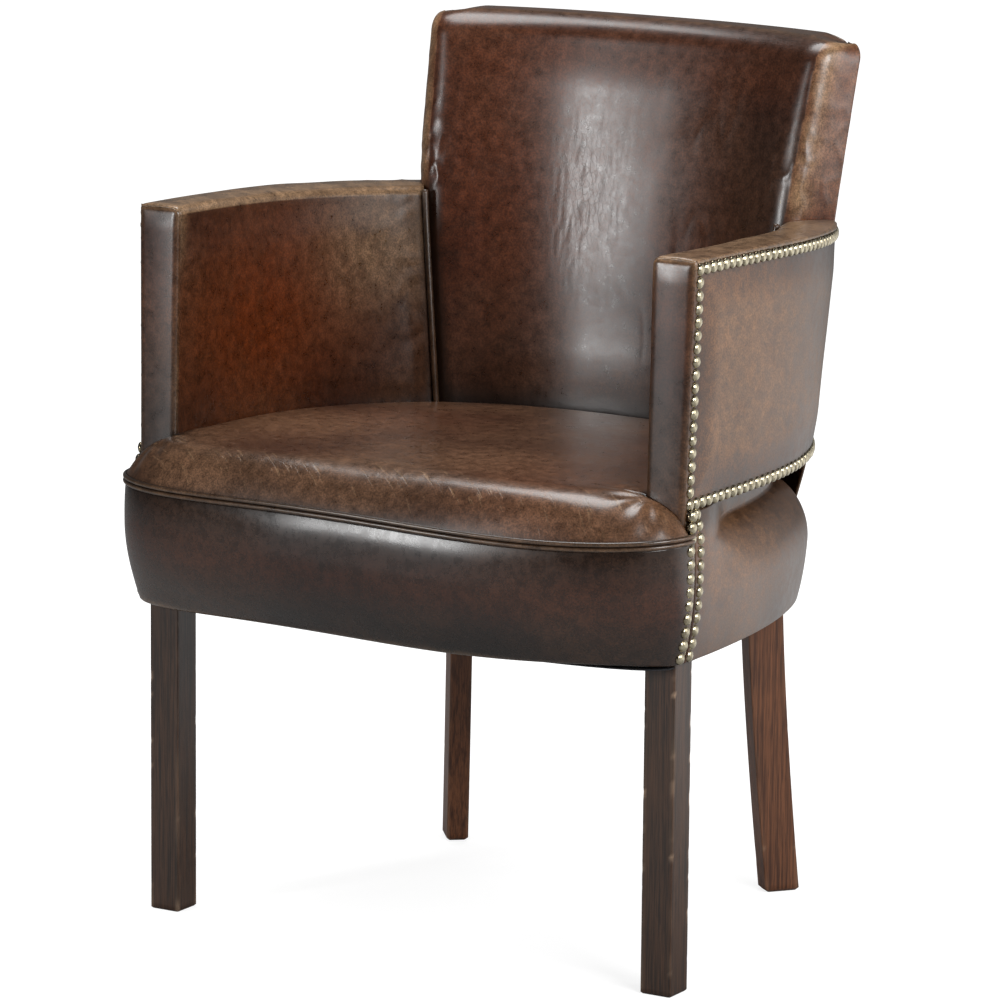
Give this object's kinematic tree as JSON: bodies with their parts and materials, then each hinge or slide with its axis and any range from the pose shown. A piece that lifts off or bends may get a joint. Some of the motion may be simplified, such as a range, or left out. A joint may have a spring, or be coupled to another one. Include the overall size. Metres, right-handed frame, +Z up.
{
  "type": "leather club chair",
  "caption": "Worn leather club chair with a barrel back, nail-trimmed arms, a bowed drum seat and plain wooden legs.",
  "frame": {"origin": "on the floor, under the middle of the chair's width and depth", "axes": "+Z up, -Y the way the chair faces, +X towards the right of a viewer who faces the chair"},
  "size_m": [0.6156, 0.5653, 0.84],
  "materials": {
    "antiqued_leather": "glossy, waxed, worn",
    "dark_stained_beech": "satin",
    "plain_beech": "raw",
    "cream_foam": "matte",
    "jute_webbing": "matte",
    "spring_steel": "satin",
    "black_cambric": "matte"
  },
  "bodies": {
    "root": {"arm_cover_left": "antiqued_leather", "arm_cover_right": "antiqued_leather", "arm_front_facing_left": "antiqued_leather", "arm_front_facing_right": "antiqued_leather", "arm_outer_panel_left": "antiqued_leather", "arm_outer_panel_right": "antiqued_leather", "back_end_facing_left": "antiqued_leather", "back_end_facing_right": "antiqued_leather", "back_inside_cover": "antiqued_leather", "back_outside_cover": "antiqued_leather", "seam_welt_left": "antiqued_leather", "seam_welt_right": "antiqued_leather", "seat_band_front": "antiqued_leather", "seat_band_sides": "antiqued_leather", "seat_front_welt": "antiqued_leather", "seat_top_cover": "antiqued_leather", "leg_front_left": "dark_stained_beech", "leg_front_right": "dark_stained_beech", "leg_rear_left": "dark_stained_beech", "leg_rear_right": "dark_stained_beech", "arm_post_left": "plain_beech", "arm_post_right": "plain_beech", "arm_rail_left": "plain_beech", "arm_rail_right": "plain_beech", "back_lower_rail": "plain_beech", "back_top_rail": "plain_beech", "back_post_left": "plain_beech", "back_post_right": "plain_beech", "corner_block_front_left": "plain_beech", "corner_block_front_right": "plain_beech", "corner_block_rear_left": "plain_beech", "corner_block_rear_right": "plain_beech", "seat_rail_front": "plain_beech", "seat_rail_left": "plain_beech", "seat_rail_rear": "plain_beech", "seat_rail_right": "plain_beech", "arm_pad_left": "cream_foam", "arm_pad_right": "cream_foam", "back_pad": "cream_foam", "front_band_pad": "cream_foam", "seat_pad": "cream_foam", "back_webbing_left": "jute_webbing", "back_webbing_middle": "jute_webbing", "back_webbing_right": "jute_webbing", "seat_spring_1": "spring_steel", "seat_spring_2": "spring_steel", "seat_spring_3": "spring_steel", "dust_cover": "black_cambric"}
  },
  "joints": []
}
